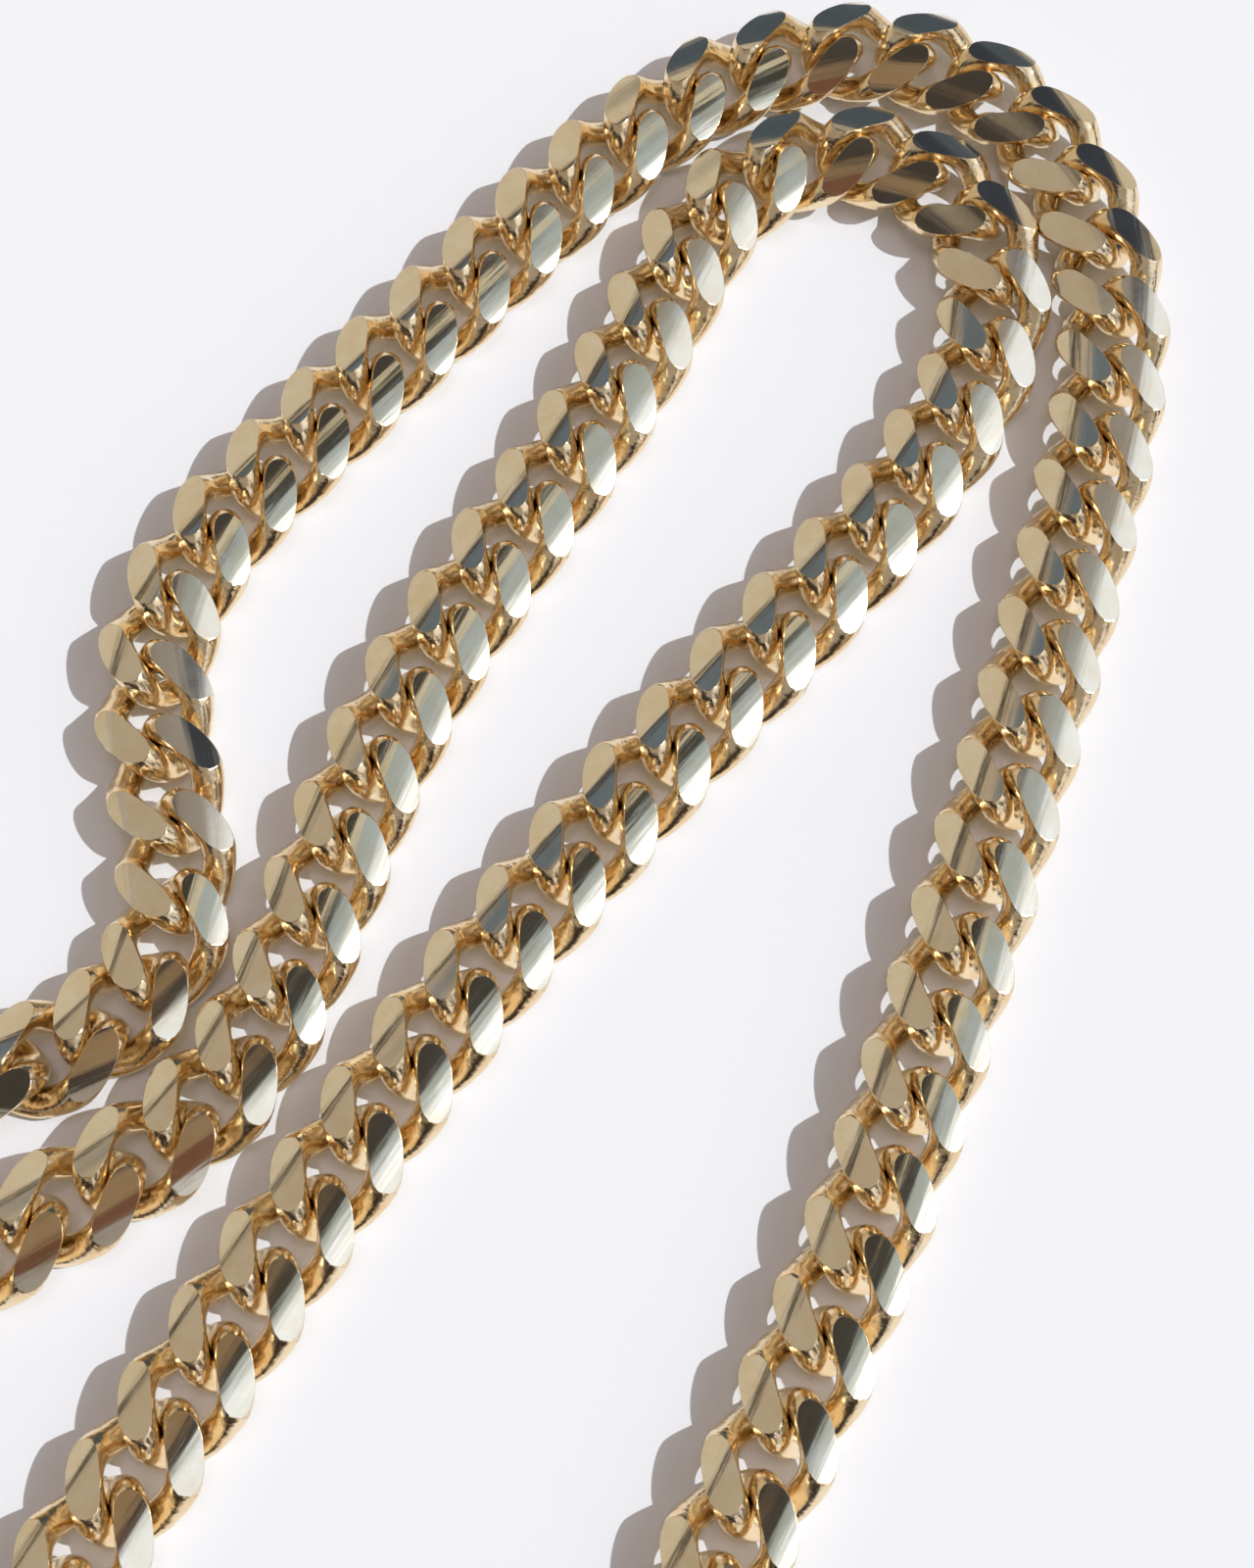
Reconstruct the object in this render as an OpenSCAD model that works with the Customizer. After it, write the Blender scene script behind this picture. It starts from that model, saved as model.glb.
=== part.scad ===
// Curb chain necklace: a closed loop of twisted oblong links whose faces are cut flat,
// fastened by an oval claw clasp between two end rings. It lies folded on a flat surface.

/* [Links] */
// Distance from one link to the next along the chain
link_pitch = 5; // [4.8:0.05:5.4]
// Thickness of the round wire of a link
wire_d = 1.8; // [1.4:0.05:1.85]
// Width of a link across the chain, before its faces are cut
link_width = 7.3; // [7:0.1:7.5]
// Play between two links that hang in each other
link_play = 0.35; // [0.3:0.05:0.45]
// How far each end of a link is twisted out of the flat, in degrees
link_twist = 58; // [54:1:62]
// How square the oblong of a link is, where 2 is an ellipse
link_squareness = 2.3; // [2.2:0.1:2.6]

/* [Cut faces] */
// Slope of the cut faces down towards the edges of the chain, in degrees
face_slope = 18; // [8:1:28]
// Depth of the cut into the wire
face_depth = 0.6; // [0.15:0.05:0.7]

/* [End rings] */
// Radius of an end ring, measured to the middle of its wire
ring_radius = 2.45; // [2.35:0.05:2.65]
// Thickness of the wire of an end ring
ring_wire_d = 0.85; // [0.6:0.05:0.95]
// How steeply an end ring stands, in degrees
ring_tilt = 60; // [57:1:64]
// Play of an end ring in the clasp
ring_play = 0.15; // [0.13:0.01:0.25]

/* [Clasp] */
// Length of the claw of the clasp, without its eye
claw_length = 11.8; // [10:0.1:16]
// Width of the claw of the clasp, without the bulge of its back
claw_width = 6.3; // [6:0.1:8]
// Thickness of the nose, tail and gate of the claw
claw_d = 1.5; // [1.2:0.1:1.6]
// Thickness of the claw's back at its thickest
claw_back_d = 3.2; // [2:0.1:3.4]
// Radius of the clasp's eye, measured to the middle of its wire
eye_radius = 1.5; // [1.4:0.1:1.8]
// Thickness of the wire of the clasp's eye
eye_wire_d = 0.9; // [0.7:0.1:1]

/* [Hidden] */
// Points that steer the middle line of the chain, as it lies: a smooth closed curve
route = [
    // Right strand, upwards
    [15, -39], [22.5, -25], [28.5, -10], [33.5, 4.5], [38, 18.5], [42, 32], [45, 44],
    // Outer bend
    [43.5, 54], [38.5, 62.5], [29.5, 66.5], [19, 64], [10.5, 56.5],
    // Left strand, downwards
    [0.5, 45], [-9, 34.5], [-16, 26], [-17, 17.5], [-14, 9], [-13.5, 0.5], [-20, -5.5],
    // Left turn
    [-27.5, -6.5], [-35.5, -1.5], [-44, -2], [-50, -8], [-50, -18], [-42, -24], [-32.5, -22],
    // Second strand, upwards
    [-25, -17], [-18.5, -13], [-11, -8.5], [-6.5, 1], [-2.5, 16], [6, 29.5], [13, 40.5],
    // Inner bend
    [16, 48.5], [19.5, 55], [25.5, 58], [31.5, 57], [36.5, 52.5], [37.5, 45.5], [34, 37],
    // Third strand, downwards
    [27, 27.5], [17.5, 17], [7.5, 5], [-1.5, -7.5], [-9.5, -20.5], [-16.5, -32],
    // Lower turn
    [-21, -40], [-24, -49], [-23, -58.5], [-17.5, -67], [-9, -71], [-0.5, -69],
    // Under the clasp
    [3.5, -62.5], [8.5, -50]
];
// Place of the middle of the clasp on the route, measured on from the route's start
clasp_place = -15.5;
// Points taken on each stretch of the route
route_steps = 12;
// Corners of a link along its wire, and round its wire
link_rings = 12;
wire_sides = 6;
// Steps in the swell of the clasp's back
rod_steps = 10;
// Sides of a ring or bend, and of the round wire of the rings and the clasp
bend_sides = 48;
round_sides = 24;
// Share of the links that the outer half of the chain holds
outer_share = 0.5;

half_length = (link_pitch + wire_d + link_play) / 2;
half_width = (link_width - wire_d) / 2;
wire_r = wire_d / 2;
ring_wire_r = ring_wire_d / 2;
claw_r = claw_d / 2;
claw_back_r = claw_back_d / 2;
eye_wire_r = eye_wire_d / 2;
// Height of the rings' middles and of the clasp that they carry
ring_height = ring_radius * sin(ring_tilt) + ring_wire_r;

// The route as a smooth closed curve, a cubic through the mean of its points
function route_point(i) = route[(i + len(route)) % len(route)];
function curve_point(i, t) =
    (pow(1 - t, 3) * route_point(i - 1)
        + (3 * pow(t, 3) - 6 * pow(t, 2) + 4) * route_point(i)
        + (-3 * pow(t, 3) + 3 * pow(t, 2) + 3 * t + 1) * route_point(i + 1)
        + pow(t, 3) * route_point(i + 2)) / 6;
curve = [
    for (i = [0 : len(route)], k = [0 : route_steps - 1])
        if (i < len(route) || k == 0) curve_point(i, k / route_steps)
];
// How far along the curve each of its points lies
reached = [
    for (
        i = 0, s = 0;
        i < len(curve);
        s = s + (i + 1 < len(curve) ? norm(curve[i + 1] - curve[i]) : 0), i = i + 1
    ) s
];
curve_length = reached[len(reached) - 1];
curve_x = [for (i = [0 : len(curve) - 1]) [reached[i], curve[i].x]];
curve_y = [for (i = [0 : len(curve) - 1]) [reached[i], curve[i].y]];
function along(s) =
    let (u = s - floor(s / curve_length) * curve_length)
        [lookup(u, curve_x), lookup(u, curve_y)];

// The clasp, lying along X from the outside of its eye to its nose, and the rings it hangs on
eye_outer_r = eye_radius + eye_wire_r;
eye_sink = eye_wire_r + claw_r;
claw_start = 2 * eye_outer_r - eye_sink;
clasp_length = claw_start + claw_length;
ring_back_x = eye_outer_r - (eye_radius + ring_radius - eye_wire_r - ring_wire_r - ring_play);
ring_front_x = clasp_length - claw_d - ring_play - ring_wire_r + ring_radius;
// From the middle of the last link to the middle of the ring in it
link_to_ring = half_length + ring_radius - wire_r - ring_wire_r - link_play;
clasp_span = ring_front_x - ring_back_x + 2 * link_to_ring;

// The links share out the rest of the curve
link_count = round((curve_length - clasp_span) / link_pitch) + 1;
link_step = (curve_length - clasp_span) / (link_count - 1);
outer_count = round(link_count * outer_share);
first_link = clasp_place + clasp_span / 2;
function link_from(k) = along(first_link + (k - 0.5) * link_step);
function link_to(k) = along(first_link + (k + 0.5) * link_step);

// The middle line of a link's wire, at the angle t round the link
function rounded(v) = sign(v) * pow(abs(v), 2 / link_squareness);
function twist_at(x) = -link_twist * x / half_length;
function wire_at(t) =
    let (x = half_length * rounded(cos(t)), u = half_width * rounded(sin(t)), a = twist_at(x))
        [x, u * cos(a), u * sin(a)];
function unit(v) = v / norm(v);

// The cut faces slope down to both sides, above and below
face_level = max([
    for (t = [0 : 5 : 355])
        abs(wire_at(t).y) * sin(face_slope) + abs(wire_at(t).z) * cos(face_slope)
]) + wire_r - face_depth;
function pressed(p) =
    let (
        n = [0, sign(p.y) * sin(face_slope), sign(p.z) * cos(face_slope)],
        over = max(0, p * n - face_level)
    ) p - over * n;

// Corners of one link about its middle
link_corners = [
    for (j = [0 : link_rings - 1])
        let (
            t = j * 360 / link_rings,
            middle = wire_at(t),
            onward = unit(wire_at(t + 1) - wire_at(t - 1)),
            a = twist_at(middle.x),
            flat = [0, -sin(a), cos(a)],
            up = unit(flat - (flat * onward) * onward),
            out = cross(onward, up)
        )
            for (i = [0 : wire_sides - 1])
                let (w = i * 360 / wire_sides)
                    pressed(middle + wire_r * (cos(w) * up + sin(w) * out))
];
chain_height = -min([for (p = link_corners) p.z]);

// Corners of link k where it lies
function placed_link(k) =
    let (
        from = link_from(k),
        to = link_to(k),
        middle = (from + to) / 2,
        x = unit(to - from)
    ) [
        for (p = link_corners)
            [middle.x + p.x * x.x - p.y * x.y, middle.y + p.x * x.y + p.y * x.x, p.z + chain_height]
    ];
function chain_corners(first, last) = [for (k = [first : last]) each placed_link(k)];
function chain_faces(count) = [
    for (k = [0 : count - 1], j = [0 : link_rings - 1], i = [0 : wire_sides - 1])
        let (
            base = k * link_rings * wire_sides,
            here = base + j * wire_sides,
            next = base + (j + 1) % link_rings * wire_sides,
            side = (i + 1) % wire_sides
        )
            each [[here + i, next + i, next + side], [here + i, next + side, here + side]]
];

// The middle of the whole chain's outline goes to the origin
outline = chain_corners(0, link_count - 1);
outline_x = [for (p = outline) p.x];
outline_y = [for (p = outline) p.y];
outline_middle = [(min(outline_x) + max(outline_x)) / 2, (min(outline_y) + max(outline_y)) / 2];

module to_origin() {
    translate([-outline_middle.x, -outline_middle.y, 0]) children();
}

// Places children along the clasp's line, with the middle of the clasp's span at x = 0
module at_clasp() {
    from = link_to(link_count - 1);
    to = link_from(0);
    middle = (from + to) / 2;
    line = to - from;
    to_origin()
        translate([middle.x, middle.y, 0])
            rotate([0, 0, atan2(line.y, line.x)])
                translate([-(ring_front_x + ring_back_x) / 2, 0, 0])
                    children();
}

module chain(first, last) {
    to_origin()
        polyhedron(
            points = chain_corners(first, last),
            faces = chain_faces(last - first + 1),
            convexity = 10
        );
}

module chain_outer() {
    color("goldenrod") chain(0, outer_count - 1);
}

module chain_inner() {
    color("goldenrod") chain(outer_count, link_count - 1);
}

module ring(tilt) {
    translate([0, 0, ring_height])
        rotate([tilt, 0, 0])
            rotate_extrude($fn = bend_sides)
                translate([ring_radius, 0])
                    circle(ring_wire_r, $fn = round_sides);
}

module ring_front() {
    color("gold") at_clasp() translate([ring_front_x, 0, 0]) ring(-ring_tilt);
}

module ring_back() {
    color("gold") at_clasp() translate([ring_back_x, 0, 0]) ring(ring_tilt);
}

// Half of a round bend of the claw, opening towards -X
module claw_bend() {
    rotate([0, 0, -90])
        rotate_extrude(angle = 180, $fn = bend_sides)
            translate([claw_width / 2 - claw_r, 0])
                circle(claw_r, $fn = round_sides);
}

// A straight rod along X, which swells towards its middle
module rod(length, end_r, middle_r) {
    rotate([0, 90, 0])
        rotate_extrude($fn = round_sides)
            polygon([
                [0, 0],
                for (i = [0 : rod_steps])
                    [end_r + (middle_r - end_r) * sin(180 * i / rod_steps), length * i / rod_steps],
                [0, length]
            ]);
}

module clasp() {
    bend_r = claw_width / 2;
    side_y = bend_r - claw_r;
    straight = claw_length - claw_width;
    color("gold")
        at_clasp()
            translate([0, 0, ring_height]) {
                translate([eye_outer_r, 0, 0])
                    rotate_extrude($fn = bend_sides)
                        translate([eye_radius, 0])
                            circle(eye_wire_r, $fn = round_sides);
                translate([claw_start + bend_r, 0, 0]) {
                    rotate([0, 0, 180]) claw_bend();
                    translate([straight, 0, 0]) claw_bend();
                    translate([0, -side_y, 0]) rod(straight, claw_r, claw_r);
                    translate([0, side_y, 0]) rod(straight, claw_r, claw_back_r);
                }
            }
}

chain_outer();
chain_inner();
ring_front();
ring_back();
clasp();
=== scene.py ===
import bpy
import math
import numpy as np
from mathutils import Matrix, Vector


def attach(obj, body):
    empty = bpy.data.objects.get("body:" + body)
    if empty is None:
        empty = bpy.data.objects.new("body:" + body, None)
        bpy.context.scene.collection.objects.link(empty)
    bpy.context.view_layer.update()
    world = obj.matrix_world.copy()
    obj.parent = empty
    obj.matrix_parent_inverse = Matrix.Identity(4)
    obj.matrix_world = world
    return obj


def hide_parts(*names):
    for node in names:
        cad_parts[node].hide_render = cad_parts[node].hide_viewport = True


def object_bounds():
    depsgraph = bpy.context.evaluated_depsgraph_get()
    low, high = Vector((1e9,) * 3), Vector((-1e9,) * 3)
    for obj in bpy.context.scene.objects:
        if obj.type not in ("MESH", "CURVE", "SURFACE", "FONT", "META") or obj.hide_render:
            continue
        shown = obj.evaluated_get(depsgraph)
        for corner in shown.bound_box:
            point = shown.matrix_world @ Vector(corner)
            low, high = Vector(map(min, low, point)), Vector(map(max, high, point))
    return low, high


# Curb chain necklace, laid in a fold on a pale surface. Lengths in the dictionaries are millimetres.
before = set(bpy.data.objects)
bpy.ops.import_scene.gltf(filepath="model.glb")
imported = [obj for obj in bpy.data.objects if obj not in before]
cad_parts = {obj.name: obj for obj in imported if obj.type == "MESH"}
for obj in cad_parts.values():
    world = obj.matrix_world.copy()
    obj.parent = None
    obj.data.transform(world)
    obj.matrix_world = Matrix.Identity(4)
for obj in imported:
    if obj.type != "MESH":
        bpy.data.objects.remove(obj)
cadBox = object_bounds()
mm = 0.001
print("frame loaded, box", [[round(v, 4) for v in corner] for corner in cadBox])

camera = {
    "place": (15.45, -49.77, 165.7),  # where the photograph was taken from
    "down": 68.52,                    # degrees below the horizon
    "fieldUp": 30.25,                 # degrees of view over the frame's height
    "nearest": 5.0,
}
camData = bpy.data.cameras.new("camera")
camData.sensor_fit = "VERTICAL"
camData.angle = math.radians(camera["fieldUp"])
camData.clip_start = camera["nearest"] * mm
camObject = bpy.data.objects.new("camera", camData)
camObject.location = [v * mm for v in camera["place"]]
camObject.rotation_euler = (math.radians(90 - camera["down"]), 0, 0)
bpy.context.collection.objects.link(camObject)
bpy.context.scene.camera = camObject

# the middle line that the chain lies along
lay = {
    "clasp": -15.5,      # middle of the clasp, measured on from the route's start
    "claspSpan": 24.55,  # from the last link to the first, across the clasp
    "stepsPerPoint": 12,
    "points": [
        (15, -39), (22.5, -25), (28.5, -10), (33.5, 4.5), (38, 18.5), (42, 32), (45, 44),
        (43.5, 54), (38.5, 62.5), (29.5, 66.5), (19, 64), (10.5, 56.5),
        (0.5, 45), (-9, 34.5), (-16, 26), (-17, 17.5), (-14, 9), (-13.5, 0.5), (-20, -5.5),
        (-27.5, -6.5), (-35.5, -1.5), (-44, -2), (-50, -8), (-50, -18), (-42, -24), (-32.5, -22),
        (-25, -17), (-18.5, -13), (-11, -8.5), (-6.5, 1), (-2.5, 16), (6, 29.5), (13, 40.5),
        (16, 48.5), (19.5, 55), (25.5, 58), (31.5, 57), (36.5, 52.5), (37.5, 45.5), (34, 37),
        (27, 27.5), (17.5, 17), (7.5, 5), (-1.5, -7.5), (-9.5, -20.5), (-16.5, -32),
        (-21, -40), (-24, -49), (-23, -58.5), (-17.5, -67), (-9, -71), (-0.5, -69),
        (3.5, -62.5), (8.5, -50),
    ],
}
chain = {
    "pitch": 5.0, "wire": 2.12, "width": 7.58, "play": 0.03, "twist": 58.0, "squareness": 2.2,
    "wireBelow": 1.7,         # thickness where the wire runs low, under the cut faces
    "sinkOver": 1.6,          # height over which the wire passes from its high to its low section
    "tuck": 0.09,             # how far the low runs draw in, as a share of the width
    "flatten": (1.15, 0.68),  # section of the low runs sideways and upwards, as shares of round wire
    "faceSlope": 18.0, "faceDepth": 0.78,
    "faceRound": 9.0,         # radius that each cut face bulges with, across the chain
    "slopeSpread": 0.7,       # how much the cut's slope varies from link to link, degrees
    "depthSpread": 0.02,
    "rim": 0.05,              # worn rim between a cut face and the round wire
    "outerShare": 0.5,        # share of the links that lies in the outer run
    # degrees that the first links' cut faces lean, the link where that has gone, over how many links
    "lean": 7.0, "leanTo": 20, "leanFade": 4,
    "seedStep": 1.37,
}
# where the mesh lines of a link run
mesh = {
    "lineSteps": 6001,   # samples of the wire's middle line
    "cutRings": 13, "ringGap": 0.32,
    "ringsPast": 0.01,   # how far the outermost rings of a cut lie past its ends, as a share of it
    "ringLeast": 0.02,   # rings nearer than this are one
    "tangentReach": 0.05,
    "tipWidth": 1.2,     # width over which the cut's slope turns over at a link's tips
    "widest": 100.0,     # degrees each way in which a cut's border is looked for
    "halvings": 26,
    "strip": (5.0, 33.0), "stripOver": 0.25,  # degrees that a cut's columns span where there is no cut
    "apart": 4.0,        # degrees that the two cuts' columns keep apart
    "cutLeast": 1e-4,    # a point is cut where it lies this far or more outside
    # how many columns cross a cut, the wire's side between the cuts, and the rest of the wire
    "acrossCut": 2, "acrossSide": 4, "acrossRest": 7,
}


def routeCurve(points, steps):
    # closed uniform cubic B-spline: each stretch mixes four neighbouring points with cubic weights
    p = np.array(points, float)
    t = (np.arange(steps) / steps)[:, None]
    weights = [(1 - t) ** 3, 3 * t ** 3 - 6 * t ** 2 + 4, -3 * t ** 3 + 3 * t ** 2 + 3 * t + 1, t ** 3]
    around = [np.roll(p, 1, 0), p, np.roll(p, -1, 0), np.roll(p, -2, 0)]
    curve = sum(w[None] * q[:, None] for w, q in zip(weights, around)) / 6
    curve = curve.reshape(-1, 2)
    return np.vstack([curve, curve[:1]])


def unit(v):
    return v / np.linalg.norm(v, axis=-1, keepdims=True)


def lengthAlong(line):
    return np.concatenate([[0], np.cumsum(np.linalg.norm(np.diff(line, axis=0), axis=1))])


def linkPlaces():
    # places share out the curve evenly by length; each link is a chord of its own stretch
    curve = routeCurve(lay["points"], lay["stepsPerPoint"])
    reached = lengthAlong(curve)
    total = reached[-1]
    count = int((total - lay["claspSpan"]) / chain["pitch"] + 0.5) + 1
    step = (total - lay["claspSpan"]) / (count - 1)
    first = lay["clasp"] + lay["claspSpan"] / 2

    def along(s):
        s = np.mod(s, total)
        return np.stack([np.interp(s, reached, curve[:, 0]), np.interp(s, reached, curve[:, 1])], -1)

    k = np.arange(count)
    return along(first + (k - 0.5) * step), along(first + (k + 0.5) * step)


def wireLine():
    # the wire's middle: a superellipse twisted about x. Where it runs low, the wire is thinner and
    # draws in; that share is smoothstep of how far it lies below the middle
    a = (chain["pitch"] + chain["wire"] + chain["play"]) / 2
    b = (chain["width"] - chain["wire"]) / 2
    r = chain["wire"] / 2
    power = 2 / chain["squareness"]
    t = np.linspace(0, 2 * np.pi, mesh["lineSteps"])
    x = a * np.sign(np.cos(t)) * np.abs(np.cos(t)) ** power
    u = b * np.sign(np.sin(t)) * np.abs(np.sin(t)) ** power
    turn = -math.radians(chain["twist"]) * x / a
    sink = np.clip(0.5 - u * np.sin(turn) / chain["sinkOver"], 0, 1)
    sink = sink * sink * (3 - 2 * sink)
    line = np.stack([x, u * np.cos(turn) * (1 - chain["tuck"] * sink), u * np.sin(turn)], -1)
    return line, r + (chain["wireBelow"] / 2 - r) * sink, sink


def ringPlaces(line, radius, length, highest, reach):
    # rings crowd towards both ends of each cut, as cosines do, and stand evenly between the cuts
    slope, bulge = math.radians(chain["faceSlope"]), chain["faceRound"]
    heading = unit(np.gradient(line, axis=0))
    half = np.sign(line[:, 1])
    axisLevel = highest - chain["faceDepth"] - bulge
    axisOut = axisLevel * math.sin(slope) + reach * math.cos(slope)
    axisUp = axisLevel * math.cos(slope) - reach * math.sin(slope)
    spans = []
    for up in (1, -1):
        away = line[:, 1:] - np.stack([half * axisOut, np.full(len(line), up * axisUp)], -1)
        far = np.linalg.norm(away, axis=1)
        ahead = (away * heading[:, 1:]).sum(1) / far
        above = (far + radius * np.sqrt(1 - ahead ** 2) > bulge) & (away[:, 1] * up > 0)
        edges = length[np.flatnonzero(np.diff(above.astype(int)))]
        spans += [tuple(pair) for pair in edges.reshape(-1, 2)]
    spans.sort()
    crowd = (1 - np.cos(np.pi * (np.arange(mesh["cutRings"]) + 0.5) / mesh["cutRings"])) / 2
    crowd = np.concatenate([[-mesh["ringsPast"]], crowd, [1 + mesh["ringsPast"]]])
    at = [start + (end - start) * crowd for start, end in spans]
    for (_, end), (start, _) in zip(spans, spans[1:] + [(spans[0][0] + length[-1], 0)]):
        steps = max(int((start - end) / mesh["ringGap"]) + 1, 1)
        at += [end + (start - end) * np.arange(1, steps) / steps] if start > end else []
    at = np.sort(np.mod(np.concatenate(at), length[-1]))
    return at[np.append(True, np.diff(at) > mesh["ringLeast"])]


def evenly(start, end, steps):
    return [start + (end - start) * i / steps for i in range(steps)]


def linkSurface(count, rng):
    # wire of radius r round a superellipse twisted about x; beyond the cut faces each point is
    # drawn back onto a shallow cylinder along x. Columns keep to the borders of the cuts
    line, radius, sink = wireLine()
    length = lengthAlong(line)
    r, bulge, slope0 = chain["wire"] / 2, chain["faceRound"], math.radians(chain["faceSlope"])

    # level of the cuts above the middle of a link, and how far out their middle lies
    rise = np.abs(line[:, 1]) * math.sin(slope0) + np.abs(line[:, 2]) * math.cos(slope0)
    top = rise.argmax()
    reach = abs(line[top, 1]) * math.cos(slope0) - abs(line[top, 2]) * math.sin(slope0)
    highest = rise[top] + r

    def lineAt(s):
        return np.stack([np.interp(s, length, line[:, i]) for i in range(3)], -1)

    at = ringPlaces(line, radius, length, highest, reach)
    centre = lineAt(at)
    radius, sink = np.interp(at, length, radius), np.interp(at, length, sink)
    tangent = unit(lineAt(np.mod(at + mesh["tangentReach"], length[-1]))
                   - lineAt(np.mod(at - mesh["tangentReach"], length[-1])))
    sideways = unit(np.cross([0, 0, 1], tangent))
    upright = np.cross(tangent, sideways)

    # each link has its own four cuts: left and right, above and below
    slope = slope0 + np.radians(rng.uniform(-1, 1, (count, 2, 2)) * chain["slopeSpread"])
    depth = chain["faceDepth"] + rng.uniform(-1, 1, (count, 2, 2)) * chain["depthSpread"]
    level = highest - depth
    side = (centre[:, 1] < 0).astype(int)
    sign = np.where(centre[:, 1] < 0, -1.0, 1.0)
    tip = np.clip(centre[:, 1] / mesh["tipWidth"], -1, 1)

    def cutCylinder(upper):
        # the way that a cut faces, and the middle of the cylinder it lies on, both across the chain
        s = slope[:, side, int(upper)]
        up = 1.0 if upper else -1.0
        faces = np.stack([sign * np.sin(s), up * np.cos(s)], -1)
        outwards = np.stack([sign * np.cos(s), -up * np.sin(s)], -1)
        return faces, faces * (level[:, side, int(upper)] - bulge)[..., None] + outwards * reach

    def cutDirection(upper):
        s = slope0 * tip
        n = np.stack([np.zeros_like(s), np.sin(s), (1.0 if upper else -1.0) * np.cos(s)], -1)
        return unit(n - (n * tangent).sum(-1, keepdims=True) * tangent)

    toTop = cutDirection(True)
    toSide = np.cross(tangent, toTop)
    toLow = cutDirection(False)
    low = np.mod(np.arctan2((toLow * toSide).sum(-1), (toLow * toTop).sum(-1)), 2 * np.pi)[None]
    low = low + np.zeros((count, 1))

    def wirePoint(angle):
        # angle has the shape links, rings[, columns]. The round section is drawn out sideways and
        # pressed flat upwards by the sink, and the normal by the inverse of both
        shape = (1, -1) + (1,) * (angle.ndim - 2) + (3,)
        perRing = (1, -1) + (1,) * (angle.ndim - 1)
        c, s = np.cos(angle)[..., None], np.sin(angle)[..., None]
        radial = c * toTop.reshape(shape) + s * toSide.reshape(shape)
        offset, normal = radial, radial
        for axis, drawn in zip((sideways, upright), chain["flatten"]):
            part = (radial * axis.reshape(shape)).sum(-1, keepdims=True) * axis.reshape(shape)
            scale = (1 + (drawn - 1) * sink).reshape(perRing)
            offset, normal = offset + (scale - 1) * part, normal + (1 / scale - 1) * part
        return centre.reshape(shape) + radius.reshape(perRing) * offset, unit(normal)

    def overCut(angle, upper):
        # how far the wire's surface lies outside the cut's cylinder
        faces, middle = cutCylinder(upper)
        points = wirePoint(angle)[0]
        away = points[..., 1:] - middle
        far = np.linalg.norm(away, axis=-1)
        return np.where((away * faces).sum(-1) > 0, far - bulge, -bulge)

    def border(start, span, upper):
        # halving towards the angle where the cut ends
        inner, outer = start + 0.0, start + span
        for step in range(mesh["halvings"]):
            middle = (inner + outer) / 2
            inside = overCut(middle, upper) > 0
            inner, outer = np.where(inside, middle, inner), np.where(inside, outer, middle)
        return inner

    def cutColumns(start, upper):
        # angles where a cut begins and ends; where there is none, a strip that widens with the distance
        over = overCut(start, upper)
        narrow, more = mesh["strip"]
        strip = np.radians(narrow + more * np.clip(-over / (mesh["stripOver"] * r), 0, 1))
        wide = math.radians(mesh["widest"])
        begins = np.where(over > 0, np.minimum(border(start, -wide, upper), start - strip), start - strip)
        ends = np.where(over > 0, np.maximum(border(start, wide, upper), start + strip), start + strip)
        return begins, ends

    topBegins, topEnds = cutColumns(np.zeros_like(low), True)
    lowBegins, lowEnds = cutColumns(low, False)
    apart = math.radians(mesh["apart"])
    meet, close = (topEnds + lowBegins) / 2, lowBegins - topEnds < apart
    topEnds = np.where(close, meet - apart / 2, topEnds)
    lowBegins = np.where(close, meet + apart / 2, lowBegins)
    rim = chain["rim"] / r
    columns = []
    for begins, ends, after, steps in ((topBegins, topEnds, lowBegins, mesh["acrossSide"]),
                                       (lowBegins, lowEnds, topBegins + 2 * np.pi, mesh["acrossRest"])):
        columns += [begins] + evenly(begins + rim, ends - rim, mesh["acrossCut"]) + [ends - rim]
        columns += evenly(ends, after, steps)

    points, normals = wirePoint(np.stack(columns, -1))
    cut = np.zeros(points.shape[:-1], bool)
    for upper in (True, False):
        faces, middle = cutCylinder(upper)
        away = points[..., 1:] - middle[:, :, None]
        far = np.linalg.norm(away, axis=-1)
        hit = ((away * faces[:, :, None]).sum(-1) > 0) & (far > bulge + mesh["cutLeast"])
        direction = away / far[..., None]
        points[..., 1:] = np.where(hit[..., None], middle[:, :, None] + direction * bulge, points[..., 1:])
        cutNormal = np.concatenate([np.zeros_like(far)[..., None], direction], -1)
        normals = np.where(hit[..., None], cutNormal, normals)
        cut |= hit
    return points, normals, cut


def gridFaces(count, rings, columns):
    # quads of a tube that closes both ways, for each of count tubes in turn
    k, j, i = np.meshgrid(np.arange(count), np.arange(rings), np.arange(columns), indexing="ij")
    base = k * rings * columns
    here = base + j * columns
    after = base + (j + 1) % rings * columns
    side = (i + 1) % columns
    return np.stack([here + i, here + side, after + side, after + i], -1).reshape(-1, 4)


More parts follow.
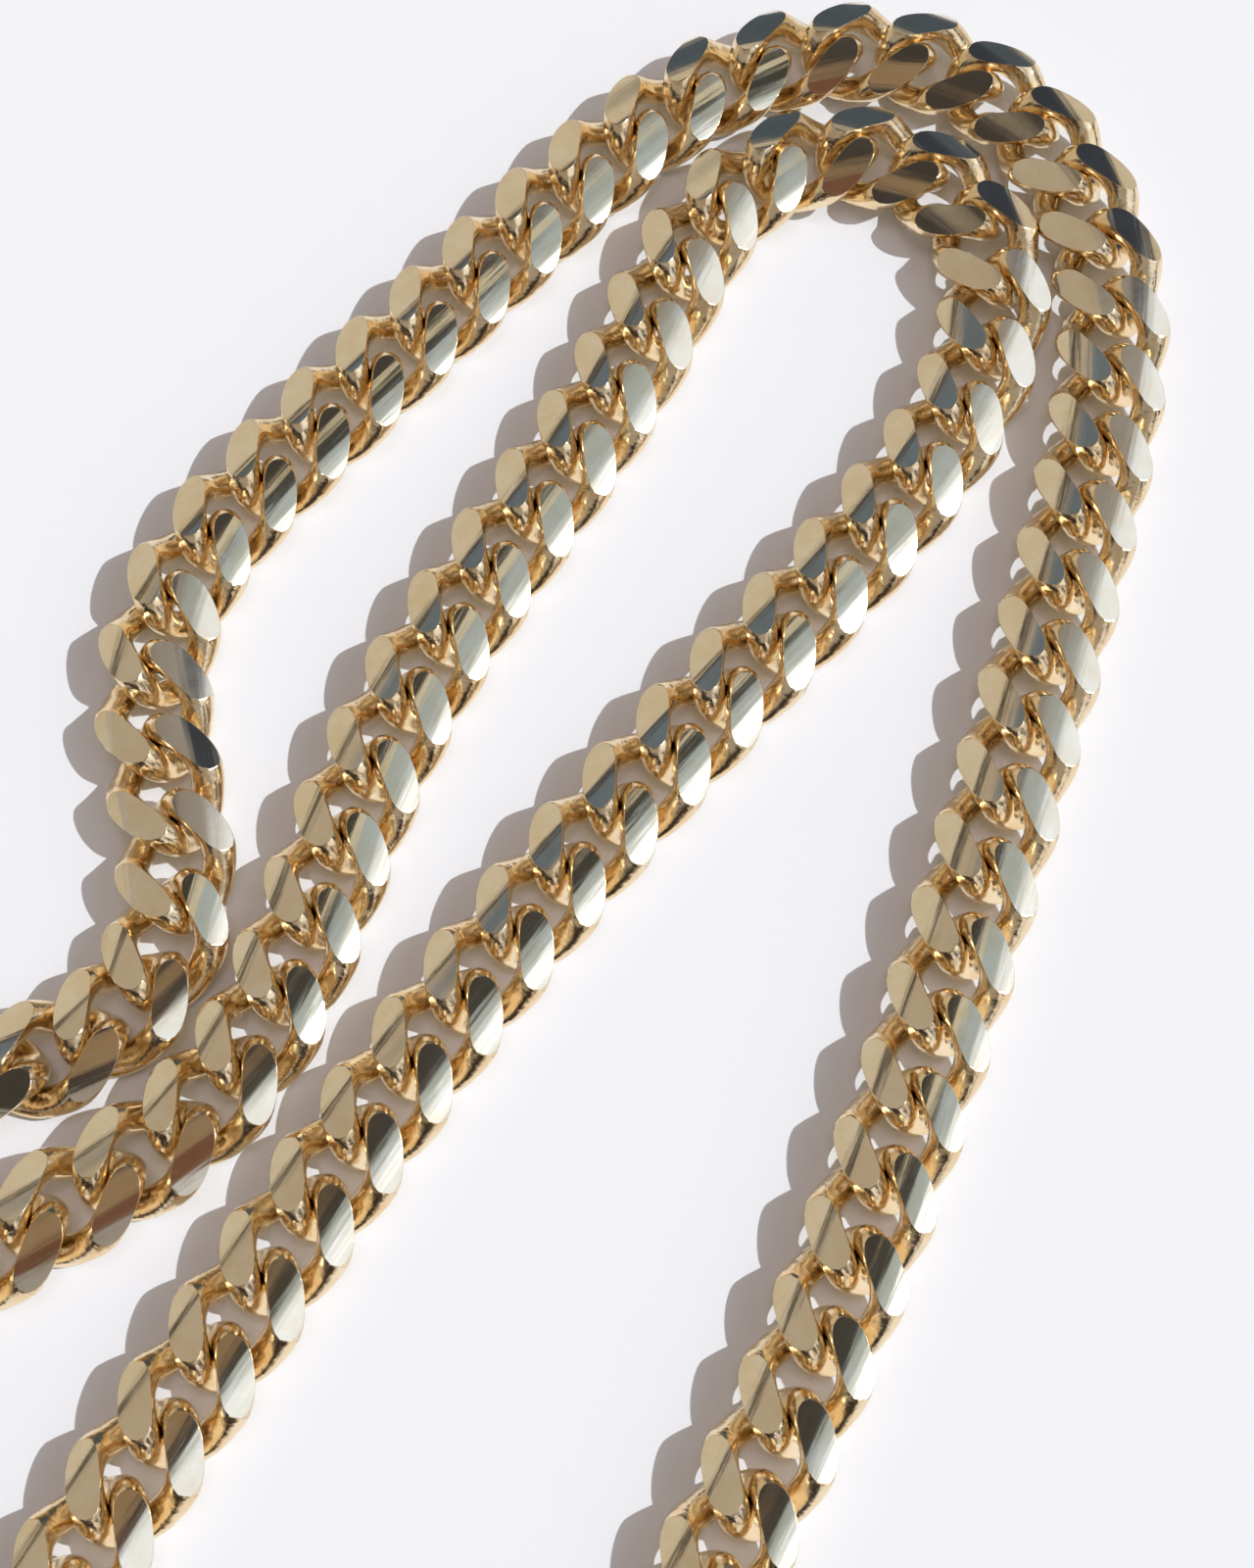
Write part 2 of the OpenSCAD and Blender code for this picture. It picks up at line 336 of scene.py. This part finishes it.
def makePiece(name, cadNode, points, faces, normals, places, seeds, materials, materialOf=None):
    # one object of quads with its own normals, a place on the piece and a seed at each point
    data = bpy.data.meshes.new(name)
    data.vertices.add(len(points))
    data.vertices.foreach_set("co", np.ascontiguousarray(points * mm, dtype=np.float32).ravel())
    data.loops.add(faces.size)
    data.loops.foreach_set("vertex_index", faces.astype(np.int32).ravel())
    data.polygons.add(len(faces))
    data.polygons.foreach_set("loop_start", np.arange(0, faces.size, 4, dtype=np.int32))
    data.polygons.foreach_set("use_smooth", np.ones(len(faces), bool))
    for material in materials:
        data.materials.append(material)
    if materialOf is not None:
        data.polygons.foreach_set("material_index", materialOf.astype(np.int32))
    for key, kind, field, values in (("place", "FLOAT_VECTOR", "vector", places),
                                     ("seed", "FLOAT", "value", seeds)):
        layer = data.attributes.new(key, kind, "POINT")
        layer.data.foreach_set(field, values.astype(np.float32).ravel())
    data.update()
    data.validate()
    data.normals_split_custom_set_from_vertices(np.ascontiguousarray(normals, dtype=np.float32))
    piece = bpy.data.objects.new(name, data)
    bpy.context.collection.objects.link(piece)
    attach(piece, "root")
    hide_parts(cadNode)
    print(name, "faces", len(faces))


# polished gold plate: round wire is the warmer, the cut faces are paler
finish = {
    "wire": {
        "pale": (0.97, 0.82, 0.57, 1), "deep": (0.90, 0.67, 0.38, 1), "rough": 0.11,
        "lumps": 0.10, "lumpScale": 0.9, "bands": 0.010, "lines": 0.0030, "fineness": 5.0, "grain": 0.011,
    },
    "cut": {
        "pale": (0.96, 0.91, 0.79, 1), "deep": (0.90, 0.81, 0.63, 1), "rough": 0.08,
        "lumps": 0.006, "lumpScale": 0.5, "bands": 0.021, "lines": 0.0028, "fineness": 6.5, "grain": 0.0004,
    },
    "polished": {
        "pale": (0.96, 0.80, 0.54, 1), "deep": (0.90, 0.67, 0.38, 1), "rough": 0.12,
        "lumps": 0.03, "lumpScale": 0.5, "bands": 0.0, "lines": 0.0016, "fineness": 4.0, "grain": 0.003,
    },
    "tintScale": 0.55, "tintFrom": 0.35, "tintTo": 0.65,
    # roughness follows the cutter's lines, between these heights and these shares of itself
    "linesBetween": (0.3, 0.7), "roughBetween": (0.7, 1.5),
    "grainScale": 7.0, "bandScale": 1.5,
    "drawnOut": {"Lines": 0.04, "Bands": 0.10},  # how little the cutter's marks change along the chain
}


def node(tree, kind, **values):
    n = tree.nodes.new(kind)
    for key, value in values.items():
        if key == "inputs":
            for socket, v in value.items():
                n.inputs[socket].default_value = v
        else:
            setattr(n, key, value)
    return n


def effectGroup(name, inputs, outputs):
    group = bpy.data.node_groups.new(name, "ShaderNodeTree")
    for label, kind, value in inputs:
        socket = group.interface.new_socket(name=label, in_out="INPUT", socket_type=kind)
        if value is not None:
            socket.default_value = value
    for label, kind in outputs:
        group.interface.new_socket(name=label, in_out="OUTPUT", socket_type=kind)
    return group, group.nodes.new("NodeGroupInput"), group.nodes.new("NodeGroupOutput")


def tintGroup():
    # colour: two golds mixed by a slow noise that differs from link to link
    white = (1, 1, 1, 1)
    g, gin, gout = effectGroup(
        "goldTint",
        [("Place", "NodeSocketVector", None), ("Seed", "NodeSocketFloat", 0.0),
         ("Pale", "NodeSocketColor", white), ("Deep", "NodeSocketColor", white),
         ("Scale", "NodeSocketFloat", finish["tintScale"])],
        [("Colour", "NodeSocketColor")])
    link = g.links.new
    noise = node(g, "ShaderNodeTexNoise", noise_dimensions="4D", inputs={"Detail": 4.0, "Roughness": 0.6})
    link(gin.outputs["Place"], noise.inputs["Vector"])
    link(gin.outputs["Seed"], noise.inputs["W"])
    link(gin.outputs["Scale"], noise.inputs["Scale"])
    spread = node(g, "ShaderNodeMapRange", inputs={1: finish["tintFrom"], 2: finish["tintTo"]})
    link(noise.outputs["Fac"], spread.inputs[0])
    mix = node(g, "ShaderNodeMix", data_type="RGBA")
    link(spread.outputs[0], mix.inputs[0])
    link(gin.outputs["Pale"], mix.inputs[6])
    link(gin.outputs["Deep"], mix.inputs[7])
    link(mix.outputs[2], gout.inputs["Colour"])
    return g


def linesGroup():
    # heights left by the cutter: noise squeezed across the chain and drawn out along it,
    # once fine for its lines and once broad for the bands between its passes
    g, gin, gout = effectGroup(
        "toolLines",
        [("Place", "NodeSocketVector", None), ("Seed", "NodeSocketFloat", 0.0),
         ("Fineness", "NodeSocketFloat", finish["cut"]["fineness"])],
        [("Lines", "NodeSocketFloat"), ("Bands", "NodeSocketFloat")])
    link = g.links.new
    for output, detail in (("Lines", 5.0), ("Bands", 1.5)):
        squeeze = node(g, "ShaderNodeVectorMath", operation="MULTIPLY",
                       inputs={1: (finish["drawnOut"][output], 1, 1)})
        link(gin.outputs["Place"], squeeze.inputs[0])
        noise = node(g, "ShaderNodeTexNoise", noise_dimensions="4D",
                     inputs={"Scale": finish["bandScale"], "Detail": detail, "Roughness": 0.65})
        link(squeeze.outputs[0], noise.inputs["Vector"])
        link(gin.outputs["Seed"], noise.inputs["W"])
        if output == "Lines":
            link(gin.outputs["Fineness"], noise.inputs["Scale"])
        link(noise.outputs["Fac"], gout.inputs[output])
    return g


goldTint, toolLines = tintGroup(), linesGroup()


def goldMaterial(name, look):
    # polished metal: tint noise in the colour, tool lines in the roughness, and as bump
    # from broad to fine: lumps of the wire, bands and lines of the cutter, grain
    material = bpy.data.materials.new(name)
    material.use_nodes = True
    tree = material.node_tree
    tree.nodes.clear()
    link = tree.links.new
    out = node(tree, "ShaderNodeOutputMaterial")
    shader = node(tree, "ShaderNodeBsdfPrincipled", inputs={"Metallic": 1.0})
    place = node(tree, "ShaderNodeAttribute", attribute_name="place")
    seed = node(tree, "ShaderNodeAttribute", attribute_name="seed")
    tint = node(tree, "ShaderNodeGroup", node_tree=goldTint,
                inputs={"Pale": look["pale"], "Deep": look["deep"], "Scale": finish["tintScale"]})
    drawn = node(tree, "ShaderNodeGroup", node_tree=toolLines, inputs={"Fineness": look["fineness"]})
    for target in (tint, drawn):
        link(place.outputs["Vector"], target.inputs["Place"])
        link(seed.outputs["Fac"], target.inputs["Seed"])
    link(tint.outputs["Colour"], shader.inputs["Base Color"])
    hollow, ridge = [look["rough"] * part for part in finish["roughBetween"]]
    lowest, highest = finish["linesBetween"]
    roughness = node(tree, "ShaderNodeMapRange", inputs={1: lowest, 2: highest, 3: hollow, 4: ridge})
    link(drawn.outputs["Lines"], roughness.inputs[0])
    link(roughness.outputs[0], shader.inputs["Roughness"])
    lump = node(tree, "ShaderNodeTexNoise", noise_dimensions="4D",
                inputs={"Scale": look["lumpScale"], "Detail": 2.0})
    fine = node(tree, "ShaderNodeTexNoise",
                inputs={"Scale": finish["grainScale"], "Detail": 3.0, "Roughness": 0.6})
    link(place.outputs["Vector"], lump.inputs["Vector"])
    link(seed.outputs["Fac"], lump.inputs["W"])
    link(place.outputs["Vector"], fine.inputs["Vector"])
    normal = None
    for height, distance in ((lump.outputs["Fac"], look["lumps"]), (drawn.outputs["Bands"], look["bands"]),
                             (drawn.outputs["Lines"], look["lines"]), (fine.outputs["Fac"], look["grain"])):
        if distance == 0:
            continue
        bump = node(tree, "ShaderNodeBump", inputs={"Strength": 1.0, "Distance": distance * mm})
        link(height, bump.inputs["Height"])
        if normal is not None:
            link(normal, bump.inputs["Normal"])
        normal = bump.outputs["Normal"]
    link(normal, shader.inputs["Normal"])
    link(shader.outputs["BSDF"], out.inputs["Surface"])
    return material


wireGold = goldMaterial("wireGold", finish["wire"])
cutGold = goldMaterial("cutGold", finish["cut"])
polishedGold = goldMaterial("polishedGold", finish["polished"])
print("materials made")

# the chain's two runs
rng = np.random.default_rng(7)
starts, ends = linkPlaces()
middles = (starts + ends) / 2
directions = unit(ends - starts)
linkCount = len(middles)
outerCount = int(linkCount * chain["outerShare"] + 0.5)
points, normals, cuts = linkSurface(linkCount, rng)
rings, columns = points.shape[1:3]
linkHeight = -points[..., 2].min()
dx, dy = directions[:, 0][:, None, None], directions[:, 1][:, None, None]


def turned(v):  # from a link's own axes to where it lies
    return np.stack([v[..., 0] * dx - v[..., 1] * dy, v[..., 0] * dy + v[..., 1] * dx, v[..., 2]], -1)


placed = turned(points)
placed[..., :2] += middles[:, None, None]
placed[..., 2] += linkHeight
# the outline's middle goes where the frame has it
flat = placed.reshape(-1, 3)[:, :2]
shift = np.sum(cadBox, 0)[:2] / 2 / mm - (flat.min(0) + flat.max(0)) / 2
placed[..., :2] += shift
print("links", linkCount, "height", round(linkHeight, 3), "shift", shift.round(3).tolist())
# the first stretch's cut faces get shading normals leaned to the left, so they catch the light as if the
# links lay a little rolled; the mesh itself is not rolled
lean = np.clip((chain["leanTo"] - np.arange(linkCount)) / chain["leanFade"], 0, 1)
lean = np.where(cuts, (np.radians(chain["lean"]) * lean)[:, None, None], 0)
normals = np.stack([normals[..., 0], normals[..., 1] * np.cos(lean) + normals[..., 2] * np.sin(lean),
                    normals[..., 2] * np.cos(lean) - normals[..., 1] * np.sin(lean)], -1)
facing = turned(normals)
seeds = np.broadcast_to(np.arange(linkCount)[:, None, None] * chain["seedStep"], cuts.shape)
for name, cadNode, run in (("chainouterLinks", "chain_outer", slice(0, outerCount)),
                           ("chaininnerLinks", "chain_inner", slice(outerCount, linkCount))):
    faces = gridFaces(run.stop - run.start, rings, columns)
    cutFace = cuts[run].reshape(-1)[faces].all(1)
    makePiece(name, cadNode, placed[run].reshape(-1, 3), faces, facing[run].reshape(-1, 3),
              points[run], seeds[run], (wireGold, cutGold), cutFace)

# the clasp and its two rings hang between the last link and the first
clasp = {
    "ringRadius": 2.45, "ringWire": 0.85, "ringTilt": 60.0, "ringPlay": 0.15,
    "length": 11.8, "width": 6.3, "wire": 1.5, "back": 3.2,
    "eyeRadius": 1.5, "eyeWire": 0.9,
    # where the gate meets the nose and the tail, as shares of the gate and of the nose's turn
    "tailGroove": 0.04, "noseGroove": 0.12, "grooveDepth": 0.07, "grooveWidth": 0.09,
    "clawSteps": 220, "ringSteps": 96, "eyeSteps": 72, "sides": 28,
}


def planeTube(path, across, radius):
    # round section of the given radius carried along a closed path in the plane square to across
    tangent = unit(np.roll(path, -1, 0) - np.roll(path, 1, 0))
    outward = np.cross(tangent, across)
    angle = (np.arange(clasp["sides"]) / clasp["sides"] * 2 * np.pi)[None, :, None]
    radial = np.cos(angle) * outward[:, None] - np.sin(angle) * np.array(across)[None, None]
    return path[:, None] + np.asarray(radius).reshape(-1, 1, 1) * radial, radial


def circlePath(centre, radius, tilt, steps):
    # circle about centre, its plane turned by tilt about x
    t = np.arange(steps) / steps * 2 * np.pi
    c, s = math.cos(math.radians(tilt)), math.sin(math.radians(tilt))
    ring = np.stack([radius * np.cos(t), radius * np.sin(t) * c, radius * np.sin(t) * s], -1)
    return ring + np.array(centre), (0.0, -s, c)


def stadiumPath(start, length, width, inset, steps):
    # two half circles joined by straights, walked at an even pace; also how far along it each point is
    bend = width / 2 - inset
    straight = length - width
    turn = math.pi * bend
    s = np.arange(steps) / steps * 2 * (straight + turn)
    left, right = start + width / 2, start + width / 2 + straight
    noseAngle = (s - straight) / bend - math.pi / 2
    tailAngle = (s - 2 * straight - turn) / bend + math.pi / 2
    parts = [s < straight, s < straight + turn, s < 2 * straight + turn]
    x = np.select(parts, [left + s, right + bend * np.cos(noseAngle), right - (s - straight - turn)],
                  left + bend * np.cos(tailAngle))
    y = np.select(parts, [-bend, bend * np.sin(noseAngle), bend], bend * np.sin(tailAngle))
    return np.stack([x, y, np.zeros(steps)], -1), s, straight, turn


eyeOuter = clasp["eyeRadius"] + clasp["eyeWire"] / 2
clawStart = 2 * eyeOuter - clasp["eyeWire"] / 2 - clasp["wire"] / 2
clawEnd = clawStart + clasp["length"]
ringHold = clasp["ringRadius"] - (clasp["eyeWire"] + clasp["ringWire"]) / 2 - clasp["ringPlay"]
ringBackX = eyeOuter - clasp["eyeRadius"] - ringHold
ringFrontX = clawEnd - clasp["wire"] - clasp["ringPlay"] - clasp["ringWire"] / 2 + clasp["ringRadius"]
carry = clasp["ringRadius"] * math.sin(math.radians(clasp["ringTilt"])) + clasp["ringWire"] / 2
claspMiddle = (ends[-1] + starts[0]) / 2 + shift
claspLine = unit(starts[0] - ends[-1])


def alongClasp(v):  # from the clasp's own axes to the way it lies
    x, y, z = v[..., 0], v[..., 1], v[..., 2]
    return np.stack([x * claspLine[0] - y * claspLine[1], x * claspLine[1] + y * claspLine[0], z], -1)


def hungPiece(name, cadNode, tubes, seed):
    # one mesh of several closed tubes, carried to the clasp's place
    surfaces = [planeTube(*tube) for tube in tubes]
    local = np.concatenate([p.reshape(-1, 3) for p, n in surfaces])
    outwards = np.concatenate([n.reshape(-1, 3) for p, n in surfaces])
    starting = np.cumsum([0] + [p.shape[0] * p.shape[1] for p, n in surfaces])
    faces = np.concatenate([gridFaces(1, *p.shape[:2]) + begin for (p, n), begin in zip(surfaces, starting)])
    lying = alongClasp(local - np.array([(ringFrontX + ringBackX) / 2, 0, 0])) + np.append(claspMiddle, 0)
    makePiece(name, cadNode, lying, faces, alongClasp(outwards),
              local, np.full(len(local), seed), (polishedGold,))


for name, cadNode, x, tilt, seed in (("frontRing", "ring_front", ringFrontX, -clasp["ringTilt"], 201.0),
                                     ("backRing", "ring_back", ringBackX, clasp["ringTilt"], 202.0)):
    path, across = circlePath((x, 0, carry), clasp["ringRadius"], tilt, clasp["ringSteps"])
    hungPiece(name, cadNode, [(path, across, clasp["ringWire"] / 2)], seed)

# the claw's wire swells along its back as a half sine and has a shallow groove, a Gaussian, at each joint
claw, s, straight, turn = stadiumPath(clawStart, clasp["length"], clasp["width"], clasp["wire"] / 2,
                                      clasp["clawSteps"])
claw[:, 2] = carry
swell = np.clip((s - straight - turn) / straight, 0, 1)
thickness = clasp["wire"] / 2 + (clasp["back"] - clasp["wire"]) / 2 * np.sin(np.pi * swell)
for joint in (clasp["tailGroove"] * straight, straight + clasp["noseGroove"] * turn):
    thickness = thickness - clasp["grooveDepth"] * np.exp(-((s - joint) / clasp["grooveWidth"]) ** 2)
eye, across = circlePath((eyeOuter, 0, carry), clasp["eyeRadius"], 0.0, clasp["eyeSteps"])
clawTubes = [(claw, (0.0, 0.0, 1.0), thickness), (eye, across, clasp["eyeWire"] / 2)]
hungPiece("claspClaw", "clasp", clawTubes, 203.0)

# a pale matt surface, a low sun from the right and a soft room
ground = {"colour": (0.90, 0.91, 0.935, 1), "rough": 0.75, "shine": 0.2, "reach": 4000.0}
floorMaterial = bpy.data.materials.new("paleSurface")
floorMaterial.use_nodes = True
floorShader = floorMaterial.node_tree.nodes["Principled BSDF"]
floorShader.inputs["Base Color"].default_value = ground["colour"]
floorShader.inputs["Roughness"].default_value = ground["rough"]
floorShader.inputs["Specular IOR Level"].default_value = ground["shine"]
edge = ground["reach"] * mm
floorMesh = bpy.data.meshes.new("surface")
corners = [(-edge, -edge, 0), (edge, -edge, 0), (edge, edge, 0), (-edge, edge, 0)]
floorMesh.from_pydata(corners, [], [(0, 1, 2, 3)])
floorMesh.materials.append(floorMaterial)
floor = bpy.data.objects.new("surface", floorMesh)
bpy.context.collection.objects.link(floor)

light = {
    "sun": {"from": (0.67, -0.055, 0.74), "power": 2.5, "spread": 0.9, "colour": (0.93, 0.965, 1.0)},
    # soft light from overhead, only on the surface
    "overheadSky": {"from": (0, 0, 1), "power": 0.3, "spread": 25.0, "colour": (0.98, 0.86, 1.0)},
    "low": (0.60, 0.57, 0.56), "high": (0.24, 0.215, 0.19),
    # a dark belt low round the room's south side, with upright light gaps in it
    "belt": {
        "towards": (0.25, -0.97, 0.0), "sides": (-0.15, 0.15), "top": 0.56, "bottom": 0.42,
        "scale": 3.2, "drawnOut": 0.12, "gapsFrom": 0.53, "gapsFull": 0.58,
        "dark": (0.035, 0.028, 0.024), "gaps": (0.95, 0.93, 0.98),
    },
    # name, direction, cosines where it fades in and is full, colour
    "patches": [
        ("eastGlow", (0.85, -0.10, 0.50), 0.71, 0.84, (0.86, 0.91, 1.0)),
        ("eastSky", (0.33, 0.08, 0.94), 0.94, 0.98, (0.38, 0.43, 0.45)),
        ("overheadDark", (-0.118, -0.05, 0.99), 0.865, 0.885, (0.052, 0.045, 0.04)),
        ("highEast", (0.27, 0.21, 0.94), 0.997, 0.9985, (0.60, 0.54, 0.41)),
        ("eastDark", (0.31, 0.10, 0.945), 0.9942, 0.9972, (0.05, 0.048, 0.045)),
        ("westHigh", (-0.48, 0.44, 0.76), 0.89, 0.95, (0.44, 0.365, 0.275)),
        ("highNorthWest", (-0.21, 0.64, 0.74), 0.968, 0.988, (0.125, 0.155, 0.19)),
        ("wallEdge", (-0.11, 0.635, -0.763), -0.095, -0.08, (0.05, 0.04, 0.035)),
        ("northWall", (-0.11, 0.635, -0.763), -0.04, -0.018, (0.58, 0.495, 0.375)),
        ("westWall", (-0.98, 0.10, 0.15), 0.88, 0.91, (0.54, 0.46, 0.34)),
        ("northDark", (0.12, 0.96, 0.26), 0.90, 0.95, (0.07, 0.09, 0.115)),
        ("northEast", (0.44, 0.67, 0.60), 0.955, 0.982, (0.038, 0.045, 0.062)),
        ("zenith", (0.05, -0.12, 0.99), 0.97, 0.99, (0.27, 0.185, 0.11)),
        ("cameraSide", (0.26, -0.30, 0.92), 0.985, 0.993, (0.16, 0.075, 0.045)),
    ],
}
for name in ("sun", "overheadSky"):
    lampData = bpy.data.lights.new(name, "SUN")
    lampData.energy = light[name]["power"]
    lampData.angle = math.radians(light[name]["spread"])
    lampData.color = light[name]["colour"]
    lamp = bpy.data.objects.new(name, lampData)
    lamp.rotation_euler = Vector(light[name]["from"]).to_track_quat("Z", "Y").to_euler()
    lamp.visible_glossy = name == "sun"
    bpy.context.collection.objects.link(lamp)

# the room: a plain dome, over it the patches in turn, each smoothstep of the cosine to its direction,
# and last the belt, whose gaps are a noise drawn out upwards
world = bpy.data.worlds.new("softRoom")
bpy.context.scene.world = world
world.use_nodes = True
tree = world.node_tree
tree.nodes.clear()
link = tree.links.new
out = node(tree, "ShaderNodeOutputWorld")
back = node(tree, "ShaderNodeBackground")
direction = node(tree, "ShaderNodeTexCoord").outputs["Generated"]
separate = node(tree, "ShaderNodeSeparateXYZ")
link(direction, separate.inputs[0])
dome = node(tree, "ShaderNodeValToRGB")
for stop, position, colour in zip(dome.color_ramp.elements, (0.0, 1.0), (light["low"], light["high"])):
    stop.position, stop.color = position, (*colour, 1)
link(separate.outputs["Z"], dome.inputs["Fac"])


def towards(vector):  # cosine between a direction and the given one
    dot = node(tree, "ShaderNodeVectorMath", operation="DOT_PRODUCT", inputs={1: tuple(vector)})
    link(direction, dot.inputs[0])
    return dot.outputs["Value"]


def fade(value, start, full):
    mask = node(tree, "ShaderNodeMapRange", interpolation_type="SMOOTHSTEP", inputs={1: start, 2: full})
    link(value, mask.inputs[0])
    return mask.outputs[0]


def mixed(share, under, over):
    # sockets are linked, and plain colours set
    mix = node(tree, "ShaderNodeMix", data_type="RGBA")
    link(share, mix.inputs[0])
    for place, colour in ((6, under), (7, over)):
        if isinstance(colour, tuple):
            mix.inputs[place].default_value = (*colour, 1)
        else:
            link(colour, mix.inputs[place])
    return mix.outputs[2]


room = dome.outputs["Color"]
for _, where, start, full, colour in light["patches"]:
    room = mixed(fade(towards(unit(np.array(where))), start, full), room, colour)
belt = light["belt"]
drawnUp = node(tree, "ShaderNodeVectorMath", operation="MULTIPLY", inputs={1: (1.0, 1.0, belt["drawnOut"])})
link(direction, drawnUp.inputs[0])
stripes = node(tree, "ShaderNodeTexNoise", inputs={"Scale": belt["scale"], "Detail": 3.0, "Roughness": 0.6})
link(drawnUp.outputs[0], stripes.inputs["Vector"])
inGap = fade(stripes.outputs["Fac"], belt["gapsFrom"], belt["gapsFull"])
beltColour = mixed(inGap, belt["dark"], belt["gaps"])
inBelt = node(tree, "ShaderNodeMath", operation="MULTIPLY")
link(fade(separate.outputs["Z"], belt["top"], belt["bottom"]), inBelt.inputs[0])
link(fade(towards(belt["towards"]), *belt["sides"]), inBelt.inputs[1])
link(mixed(inBelt.outputs[0], room, beltColour), back.inputs["Color"])
link(back.outputs[0], out.inputs["Surface"])
bpy.context.scene.view_settings.view_transform = "Standard"
print("light made")
